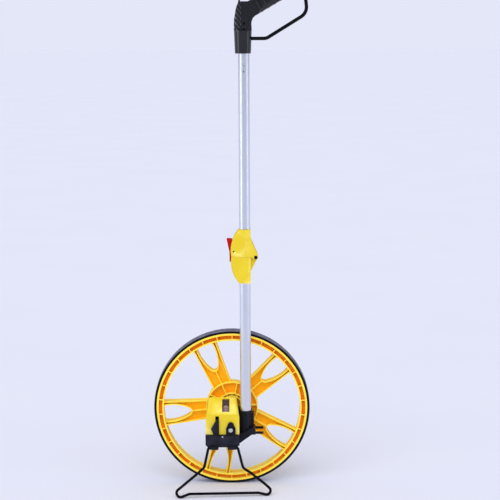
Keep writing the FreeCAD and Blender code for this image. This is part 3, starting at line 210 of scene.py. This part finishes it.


# ---------------------------------------------------------------- materials

# Where the wheel's painted shade and painted highlight go: shade on its web, in the rim's pockets and round
# the hub, highlight on the ribs' faces and walls, as distances from the wheel's middle plane (depth) or
# from its axle (radius).
WEB_DEPTH = 1.5 * MM
RIB_DEPTH = 14 * MM
POCKET_INNER_RADIUS = (141.8 * MM, 142.6 * MM)
POCKET_OUTER_RADIUS = (150.2 * MM, 149.6 * MM)
POCKET_SHADE_DEPTH = (13.6 * MM, 12 * MM)
HUB_SHADE_RADIUS = (51.2 * MM, 50.4 * MM)
HUB_SHADE_DEPTH = (9 * MM, 2 * MM)
WALL_HIGHLIGHT_DEPTH = (2 * MM, 5 * MM)
WALL_HIGHLIGHT_FACING = (0.55, 0.25)


def wheel_material():
    """Orange moulding with painted light: a painted highlight on the ribs' faces, walls and edges, painted
    shade on the web, in the rim's pockets and round the hub.
    """
    shader = Shader("orange_wheel", specular=0.16)
    depth = shader.math("ABSOLUTE", shader.axis("Y"))
    radius = shader.radius()
    # Painted shade and highlight: a deeper orange on the recessed web, turning to light yellow towards the
    # ribs' front faces.
    base = shader.ramp(shader.spread(depth, WEB_DEPTH, RIB_DEPTH), [
        (0.0, srgb(255, 178, 0)), (0.3, srgb(255, 186, 4)), (0.75, srgb(255, 206, 20)),
        (1.0, srgb(255, 226, 74))])
    # Painted highlight: walls that face along the axle, away from the web, are lightened to a pale yellow.
    normal = shader.node("ShaderNodeTexCoord").outputs["Normal"]
    wall_highlight = shader.spread(shader.math("ABSOLUTE", shader.axis("Y", normal)), *WALL_HIGHLIGHT_FACING)
    wall_highlight = shader.math("MULTIPLY", wall_highlight, shader.spread(depth, *WALL_HIGHLIGHT_DEPTH))
    base = shader.mix(wall_highlight, base, srgb(255, 236, 90))
    # Painted shade: a deeper orange laid in the rim's pockets.
    pocket_shade = shader.math("MULTIPLY", shader.spread(radius, *POCKET_INNER_RADIUS),
                         shader.spread(radius, *POCKET_OUTER_RADIUS))
    pocket_shade = shader.math("MULTIPLY", pocket_shade, shader.spread(depth, *POCKET_SHADE_DEPTH))
    base = shader.mix(pocket_shade, base, srgb(255, 156, 0))
    # Painted shade: a deeper orange at half strength round the hub, near the web.
    hub_shade = shader.math("MULTIPLY", shader.spread(radius, *HUB_SHADE_RADIUS), shader.spread(depth, *HUB_SHADE_DEPTH))
    base = shader.mix(shader.math("MULTIPLY", hub_shade, 0.5), base, srgb(255, 158, 0))
    cloud = shader.spread(shader.noise(22.0, 4.0), 0.35, 0.7, 0.0, 0.25)
    base = shader.mix(cloud, base, srgb(250, 182, 18))
    # Painted highlight: the wheel's edges lightened to a pale yellow, broken up by noise.
    edge_highlight = shader.math("MULTIPLY", shader.edges(), shader.spread(shader.noise(70.0), 0.3, 0.7, 0.3, 0.9))
    shader.set("Base Color", shader.mix(edge_highlight, base, srgb(255, 236, 110)))
    shader.set("Roughness", shader.spread(shader.noise(40.0, 5.0), 0.3, 0.7, 0.40, 0.54))
    flow = shader.bump(shader.noise(3.0, 2.0, vector=shader.stretched((14, 14, 14))), 0.10, 0.0003)
    shader.set("Normal", shader.bump(shader.noise(1100.0, 2.0), 0.08, 0.0002, flow))
    return shader.material


def tyre_material():
    """Dull rubber: black side walls, and a greyer tread with dust and fine scuffs along its run."""
    shader = Shader("tread_rubber", specular=0.18)
    tread = shader.spread(shader.radius(), WHEEL_RADIUS - 0.9 * MM, WHEEL_RADIUS - 0.2 * MM)
    dust = shader.math("MULTIPLY", tread, shader.spread(shader.noise(55.0, 6.0), 0.3, 0.65, 0.45, 1.0))
    shader.set("Base Color", shader.mix(dust, srgb(10, 10, 13), srgb(124, 123, 142)))
    shader.set("Roughness", shader.spread(shader.noise(120.0, 4.0), 0.3, 0.7, 0.55, 0.82))
    scuffs = shader.bump(shader.noise(30.0, 4.0, vector=shader.stretched((1, 18, 1))), 0.35, 0.0004)
    shader.set("Normal", shader.bump(shader.noise(1500.0, 2.0), 0.25, 0.0002, scuffs))
    return shader.material


def metal_material(name, colour, dark, roughness, stretch, scale, anisotropic, depth):
    """Metal with faint stains and a fine grain, drawn into lines along an axis whose stretch is small."""
    shader = Shader(name, metallic=1.0)
    lines = shader.noise(scale, 4.0, vector=shader.stretched(stretch))
    stains = shader.spread(shader.noise(9.0, 5.0), 0.35, 0.75, 0.0, 0.5)
    shader.set("Base Color", shader.mix(stains, colour, dark))
    shader.set("Roughness", shader.spread(lines, 0.25, 0.75, roughness - 0.05, roughness + 0.10))
    shader.set("Anisotropic", anisotropic)
    shader.set("Normal", shader.bump(lines, depth, 0.0001))
    return shader.material


def glass_material():
    """The clear cover: faintly smoky, mostly see-through by its alpha, with hairline scratches."""
    shader = Shader("clear_window", specular=0.6)
    shader.set("Base Color", srgb(120, 96, 108))
    shader.set("Alpha", 0.2)
    scratches = shader.noise(220.0, 4.0, vector=shader.stretched((1, 12, 12)))
    shader.set("Roughness", shader.spread(scratches, 0.55, 0.8, 0.04, 0.22))
    return shader.material


def make_materials():
    """Every finish on the object, by short name."""
    # The third colour of each moulding is the painted highlight on its edges.
    white = srgb(240, 240, 240)
    return {
        "wheel": wheel_material(),
        "tyre": tyre_material(),
        "yellow": moulded("yellow_moulding", srgb(228, 203, 34), srgb(219, 190, 24), srgb(250, 238, 130),
                          0.38, edge_highlight_share=0.8, specular=0.35),
        "black": moulded("black_moulding", srgb(14, 14, 20), srgb(20, 21, 29), srgb(66, 68, 86), 0.42,
                         grain=1300.0, grain_depth=0.22, edge_highlight_share=0.35, specular=0.16),
        "grip": moulded("grip_moulding", srgb(4, 4, 7), srgb(8, 8, 12), srgb(84, 86, 110), 0.22,
                        grain=1500.0, grain_depth=0.05, edge_highlight_share=0.3, specular=0.42, coat=0.2),
        "red": moulded("red_moulding", srgb(188, 2, 10), srgb(150, 0, 8), srgb(226, 50, 50), 0.4,
                       edge_highlight_share=0.4, specular=0.15),
        "ivory": moulded("ivory_moulding", srgb(224, 220, 205), srgb(210, 204, 186), white, 0.42),
        "grey": moulded("grey_moulding", srgb(112, 112, 116), srgb(96, 96, 102), srgb(170, 170, 174), 0.5),
        "drum": moulded("drum_moulding", srgb(172, 136, 150), srgb(152, 116, 130), srgb(196, 170, 180), 0.5,
                        specular=0.2),
        "digit": moulded("digit_ink", srgb(255, 240, 244), srgb(250, 228, 234), white, 0.5, edge_highlight_share=0.2),
        "tube": metal_material("drawn_aluminium", srgb(226, 229, 236), srgb(208, 212, 222), 0.32,
                               stretch=(1, 1, 0.02), scale=900.0, anisotropic=0.5, depth=0.06),
        "steel": metal_material("plated_steel", srgb(208, 210, 214), srgb(160, 162, 168), 0.24,
                                stretch=(1, 1, 1), scale=500.0, anisotropic=0.0, depth=0.08),
        "brass": metal_material("machined_brass", srgb(206, 172, 98), srgb(170, 134, 66), 0.28,
                                stretch=(1, 1, 1), scale=420.0, anisotropic=0.0, depth=0.08),
        "black_steel": moulded("black_coated_steel", srgb(4, 4, 6), srgb(8, 8, 11),
                               srgb(40, 40, 48), 0.34, grain=700.0, grain_depth=0.18, edge_highlight_share=0.12,
                               specular=0.14),
        "window": glass_material(),
    }


FINISHES = {
    "wheel": ["wheel"],
    "tyre": ["tyre"],
    "yellow": ["counter_housing", "lower_joint", "upper_joint"],
    "black": ["bracket", "reset_lever", "hub_cap"],
    "grip": ["grip_front_half", "grip_rear_half", "handle_plug"],
    "red": ["latch_lever"],
    "ivory": ["input_gear", "drive_bevel_gear", "driven_bevel_gear"]
    + [f"transfer_pinion_{i}" for i in range(1, 5)],
    "grey": ["counter_frame"],
    "drum": [f"digit_drum_{i}" for i in range(1, 6)],
    "tube": ["lower_tube", "upper_tube"],
    "steel": ["hub_bearings", "bearing_spacer", "axle", "axle_nuts", "axle_washer", "input_shaft",
              "counter_shaft", "pinion_shaft", "housing_screws", "tube_screw", "tray_screw",
              "reset_screw", "reset_spring", "lower_joint_rivet", "upper_joint_rivet", "spring_button",
              "latch_spring"],
    "brass": ["drive_gear", "input_bush"],
    "black_steel": ["kickstand", "hinge_pin", "latch_pin", "hand_guard", "grip_screws"],
    "window": ["counter_window"],
}


def dress(materials):
    """Give each CAD node its finish."""
    for finish, names in FINISHES.items():
        for name in names:
            node = nodes[name]
            node.data.materials.clear()
            node.data.materials.append(materials[finish])


# ---------------------------------------------------------------- softened CAD edges

# The bevels' widths, in millimetres.
EDGE_ROUNDS = {
    "wheel": 0.45, "tyre": 0.3, "bracket": 0.8, "counter_housing": 0.7, "lower_joint": 0.7,
    "upper_joint": 0.7, "reset_lever": 0.5, "latch_lever": 0.7, "hub_cap": 0.3, "handle_plug": 0.4,
    "axle_nuts": 0.3, "drive_gear": 0.12, "input_gear": 0.12, "counter_frame": 0.25,
    "reset_screw": 0.25, "hinge_pin": 0.5, "tray_screw": 0.2, "counter_window": 0.15,
}

WELD_DISTANCE = 0.004 * MM
BEVEL_SEGMENTS = 2
BEVEL_ANGLE = math.radians(32)
NORMAL_WEIGHT = 60


def soften(name, width):
    """Round a node's sharp edges with modifiers; the node's own mesh stays as it is."""
    node = nodes[name]
    weld = node.modifiers.new("weld", "WELD")
    weld.merge_threshold = WELD_DISTANCE
    bevel = node.modifiers.new("round_edges", "BEVEL")
    bevel.width = width * MM
    bevel.segments = BEVEL_SEGMENTS
    bevel.limit_method = "ANGLE"
    bevel.angle_limit = BEVEL_ANGLE
    bevel.use_clamp_overlap = True
    normals = node.modifiers.new("even_normals", "WEIGHTED_NORMAL")
    normals.weight = NORMAL_WEIGHT


# ---------------------------------------------------------------- mesh helpers

def new_piece(name, data, material, body):
    """Link a finished mesh as a piece that rides on a body."""
    data.materials.clear()
    data.materials.append(material)
    piece = bpy.data.objects.new(name, data)
    bpy.context.scene.collection.objects.link(piece)
    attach(piece, body)
    return piece


def apply_modifiers(piece):
    """The piece's mesh with its modifiers worked in."""
    graph = bpy.context.evaluated_depsgraph_get()
    return bpy.data.meshes.new_from_object(piece.evaluated_get(graph))


def smooth_step(value, low, high):
    """0 below low, 1 above high, and an even curve between them."""
    share = min(max((value - low) / (high - low), 0.0), 1.0)
    return share * share * (3 - 2 * share)


# ---------------------------------------------------------------- grip

# Raised bands across the handle, counted along its slope from a point at its root.
HANDLE_SLOPE = math.radians(30.4)
HANDLE_ALONG = Vector((math.cos(HANDLE_SLOPE), 0, math.sin(HANDLE_SLOPE)))
HANDLE_START = Vector((58 * MM, MAST_Y, 954.2 * MM))
RIDGE_FIRST = 9 * MM
RIDGE_PITCH = 14 * MM
RIDGE_COUNT = 6
RIDGE_RISE = 0.9 * MM
RIDGE_HALF = 1.3 * MM

# Thumb steps up the trunk's left side. Each falls over the first share of its pitch and rises over the
# rest.
SCALLOP_PITCH = 10.6 * MM
SCALLOP_DEPTH = 2.2 * MM
SCALLOP_SLANT = 1.1
SCALLOP_FALL = 0.22
SCALLOP_BOTTOM = 925 * MM
SCALLOP_TOP = 979 * MM
SCALLOP_FADE = 4 * MM
SCALLOP_START_LEFT = 4 * MM
SCALLOP_SIDE_FADE = 5 * MM

# What stays free of bands and steps by the seam and round the tube, and how the shell is remeshed.
SEAM_FLAT = 0.4 * MM
SEAM_FADE = 2.5 * MM
TUBE_CLEARANCE = 1 * MM
VOXEL = 0.7 * MM
RELAX_FACTOR = 0.5
RELAX_STEPS = 7


def handle_ridges(point):
    """Raised bands across the handle."""
    along = (point - HANDLE_START).dot(HANDLE_ALONG)
    nearest = round((along - RIDGE_FIRST) / RIDGE_PITCH)
    nearest = min(max(nearest, 0), RIDGE_COUNT - 1)
    away = (along - RIDGE_FIRST - nearest * RIDGE_PITCH) / RIDGE_HALF
    return RIDGE_RISE * math.exp(-away * away)


def thumb_scallops(point):
    """Slanting steps up the trunk's left side, where the thumb wraps round."""
    beside = smooth_step(MAST_X - SCALLOP_START_LEFT - point.x, 0.0, SCALLOP_SIDE_FADE)
    beside *= smooth_step(point.z, SCALLOP_BOTTOM, SCALLOP_BOTTOM + SCALLOP_FADE)
    beside *= 1 - smooth_step(point.z, SCALLOP_TOP, SCALLOP_TOP + SCALLOP_FADE)
    run = (point.z + SCALLOP_SLANT * (point.x - MAST_X)) / SCALLOP_PITCH
    step = run - math.floor(run)
    if step < SCALLOP_FALL:
        full = 1 - smooth_step(step, 0.0, SCALLOP_FALL)
    else:
        full = smooth_step(step, SCALLOP_FALL, 1.0)
    return -SCALLOP_DEPTH * beside * (1 - full)


def grip_half(name, material):
    """A grip half remeshed from its CAD solid, rounded, then given its ridges and scallops."""
    blank = bpy.data.objects.new(f"{name}_blank", nodes[name].data.copy())
    bpy.context.scene.collection.objects.link(blank)
    remesh = blank.modifiers.new("voxels", "REMESH")
    remesh.mode = "VOXEL"
    remesh.voxel_size = VOXEL
    relax = blank.modifiers.new("relax", "SMOOTH")
    relax.factor = RELAX_FACTOR
    relax.iterations = RELAX_STEPS
    data = apply_modifiers(blank)
    bpy.data.objects.remove(blank)
    shape = bmesh.new()
    shape.from_mesh(data)
    shape.normal_update()
    shifts = []
    for vertex in shape.verts:
        point = vertex.co
        off_seam = smooth_step(abs(point.y - MAST_Y), SEAM_FLAT, SEAM_FADE)
        off_tube = math.hypot(point.x - MAST_X, point.y - MAST_Y) > TUBE_RADIUS + TUBE_CLEARANCE
        rise = handle_ridges(point) + thumb_scallops(point) if off_tube else 0.0
        shifts.append(vertex.normal * rise * off_seam)
    for vertex, shift in zip(shape.verts, shifts):
        vertex.co += shift
    shape.to_mesh(data)
    shape.free()
    data.polygons.foreach_set("use_smooth", [True] * len(data.polygons))
    piece = new_piece(name.replace("half", "shell"), data, material, "upper_mast")
    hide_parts(name)


# ---------------------------------------------------------------- counter digits

# The drums, by their middles' distance along their shared axis from the bevel gears' apex.
DRUM_RADIUS = 8.5 * MM
FIRST_DRUM = 14.6 * MM
DRUM_PITCH = 5.8 * MM
DIGIT_HEIGHT = 4.3 * MM
DIGIT_THICKNESS = 0.12 * MM
DIGIT_SINK = 0.05 * MM
DIGIT_STRIPS = 6
DIGITS_PER_DRUM = 10
DIGIT_STEP = 2 * math.pi / DIGITS_PER_DRUM
DRUM_BODIES = ("units_drum", "tens_drum", "hundreds_drum", "thousands_drum", "ten_thousands_drum")
DRUM_FACE = Vector((1, 0, 0)).cross(DRUM_AXIS)
DRUM_UP = DRUM_FACE.cross(DRUM_AXIS)


def flat_digit(number):
    """A number as a flat bmesh, centred, its height along Y, cut into strips that can bend."""
    text = bpy.data.curves.new(f"digit_{number}", "FONT")
    text.body = str(number)
    holder = bpy.data.objects.new(f"digit_{number}", text)
    bpy.context.scene.collection.objects.link(holder)
    data = apply_modifiers(holder)
    bpy.data.objects.remove(holder)
    flat = bmesh.new()
    flat.from_mesh(data)
    bpy.data.meshes.remove(data)
    low = Vector((min(v.co.x for v in flat.verts), min(v.co.y for v in flat.verts), 0))
    high = Vector((max(v.co.x for v in flat.verts), max(v.co.y for v in flat.verts), 0))
    scale = DIGIT_HEIGHT / (high.y - low.y)
    for vertex in flat.verts:
        vertex.co = (vertex.co - (low + high) / 2) * scale
    for i in range(1, DIGIT_STRIPS):
        height = DIGIT_HEIGHT * (i / DIGIT_STRIPS - 0.5)
        bmesh.ops.bisect_plane(flat, geom=flat.verts[:] + flat.edges[:] + flat.faces[:],
                               plane_co=(0, height, 0), plane_no=(0, 1, 0))
    return flat


def drum_digits(index, material):
    """Ten raised digits round one drum, zero facing the window at rest."""
    merged = bmesh.new()
    centre = APEX + DRUM_AXIS * (FIRST_DRUM - index * DRUM_PITCH)
    for number in range(DIGITS_PER_DRUM):
        flat = flat_digit(number)
        turned = DIGIT_STEP * number
        copies = []
        for lift in (-DIGIT_SINK, DIGIT_THICKNESS):
            made = {}
            for vertex in flat.verts:
                angle = turned + vertex.co.y / DRUM_RADIUS
                outward = DRUM_FACE * math.cos(angle) + DRUM_UP * math.sin(angle)
                spot = centre + DRUM_AXIS * vertex.co.x + outward * (DRUM_RADIUS + lift)
                made[vertex] = merged.verts.new(spot)
            copies.append(made)
        under, over = copies
        for face in flat.faces:
            merged.faces.new([over[v] for v in face.verts])
            merged.faces.new([under[v] for v in reversed(face.verts)])
        for edge in flat.edges:
            if edge.is_boundary:
                loop = edge.link_loops[0]
                start = loop.vert
                end = loop.link_loop_next.vert
                merged.faces.new([over[end], over[start], under[start], under[end]])
        flat.free()
    bmesh.ops.recalc_face_normals(merged, faces=merged.faces[:])
    name = f"drum_digits_{index + 1}"
    data = bpy.data.meshes.new(name)
    merged.to_mesh(data)
    merged.free()
    new_piece(name, data, material, DRUM_BODIES[index])


# ---------------------------------------------------------------- stage, lights and camera

FLOOR_HALF = 60.0
FLOOR_DROP = 0.1 * MM

# Each sun: name, direction, strength, angular width in degrees.
SUNS = (
    ("key_sun", (0.35, 1.1, -0.9), 1.5, 70),
    ("top_sun", (-0.1, 0.15, -1.0), 0.85, 110),
    ("fill_sun", (-0.6, 1.2, -0.5), 0.5, 90),
)

# Each soft box: name, place, width, power, colour. Both are tall and aim at the mast.
BOX_HEIGHT = 2.6
BOX_TARGET = (0, 0, 0.7)
SOFT_BOXES = (
    ("left_box", (-2.2, -0.9, 1.0), 0.7, 15, (0.84, 0.88, 1.0)),
    ("right_box", (2.3, -0.9, 1.0), 0.45, 8, (0.84, 0.86, 1.0)),
)

# The camera, in metres and radians, with its lens and sensor in millimetres.
CAMERA_PLACE = (0.0385, -3.003, 0.928)
CAMERA_DOWN = math.radians(8.44)
CAMERA_ROLL = -0.005
CAMERA_LENS = 108
CAMERA_SENSOR = 36
CAMERA_REACH = 200


def make_floor():
    """A wide plain floor."""
    shader = Shader("pale_floor", roughness=0.9, specular=0.1)
    shader.set("Base Color", shader.mix(shader.spread(shader.noise(2.0, 2.0), 0.3, 0.7),
                                        srgb(234, 235, 243), srgb(232, 233, 242)))
    data = bpy.data.meshes.new("floor")
    corners = [(-1, -1), (1, -1), (1, 1), (-1, 1)]
    data.from_pydata([(FLOOR_HALF * x, FLOOR_HALF * y, 0) for x, y in corners], [], [(0, 1, 2, 3)])
    data.materials.append(shader.material)
    floor = bpy.data.objects.new("floor", data)
    floor.location.z = -FLOOR_DROP
    bpy.context.scene.collection.objects.link(floor)
    return floor


def new_lamp(name, light, direction):
    """Hang a light so that it shines along a direction."""
    lamp = bpy.data.objects.new(name, light)
    lamp.rotation_euler = Vector(direction).to_track_quat("-Z", "Y").to_euler()
    bpy.context.scene.collection.objects.link(lamp)
    return lamp


def make_sun(name, direction, strength, width):
    """A distant soft lamp, which lights the whole floor evenly and shows in no reflection."""
    light = bpy.data.lights.new(name, "SUN")
    light.energy = strength
    light.angle = math.radians(width)
    new_lamp(name, light, direction).visible_glossy = False


def make_soft_box(name, place, width, power, colour, spared):
    """A tall glowing panel that gives gloss its streaks, and lights nothing in the spared collection."""
    light = bpy.data.lights.new(name, "AREA")
    light.shape = "RECTANGLE"
    light.size = width
    light.size_y = BOX_HEIGHT
    light.energy = power
    light.color = colour
    lamp = new_lamp(name, light, Vector(BOX_TARGET) - Vector(place))
    lamp.location = place
    lamp.visible_camera = False
    lamp.light_linking.receiver_collection = spared


def make_room():
    """An even bluish-white world, brighter where the camera sees it than where it lights the object."""
    world = bpy.data.worlds.new("pale_room")
    world.use_nodes = True
    tree = world.node_tree
    background = tree.nodes["Background"]
    colour = tree.nodes.new("ShaderNodeMix")
    colour.data_type = "RGBA"
    colour.inputs[MIX_FIRST].default_value = srgb(158, 162, 180)
    colour.inputs[MIX_SECOND].default_value = srgb(228, 231, 248)
    seen = tree.nodes.new("ShaderNodeLightPath")
    tree.links.new(seen.outputs["Is Camera Ray"], colour.inputs[MIX_SHARE])
    tree.links.new(colour.outputs[MIX_RESULT], background.inputs["Color"])
    bpy.context.scene.world = world


def make_lights(floor):
    """Broad soft suns, and tall soft boxes that spare the floor."""
    spared = bpy.data.collections.new("spared_by_boxes")
    spared.objects.link(floor)
    spared.collection_objects[0].light_linking.link_state = "EXCLUDE"
    for settings in SUNS:
        make_sun(*settings)
    for settings in SOFT_BOXES:
        make_soft_box(*settings, spared)


def make_camera():
    """A long lens, some way off and looking slightly down."""
    data = bpy.data.cameras.new("camera")
    data.lens = CAMERA_LENS
    data.sensor_width = CAMERA_SENSOR
    data.clip_end = CAMERA_REACH
    camera = bpy.data.objects.new("camera", data)
    pitch = math.radians(90) - CAMERA_DOWN
    turn = Matrix.Rotation(pitch, 4, "X") @ Matrix.Rotation(CAMERA_ROLL, 4, "Z")
    camera.matrix_world = Matrix.Translation(CAMERA_PLACE) @ turn
    bpy.context.scene.collection.objects.link(camera)
    bpy.context.scene.camera = camera


def set_tone():
    """Plain tone mapping, so that the pale floor stays pale."""
    view = bpy.context.scene.view_settings
    view.view_transform = "Standard"
    view.look = "None"


materials = make_materials()
dress(materials)
for name, width in EDGE_ROUNDS.items():
    soften(name, width)
for half in ("grip_front_half", "grip_rear_half"):
    grip_half(half, materials["grip"])
for index in range(len(DRUM_BODIES)):
    drum_digits(index, materials["digit"])
make_room()
make_lights(make_floor())
make_camera()
set_tone()
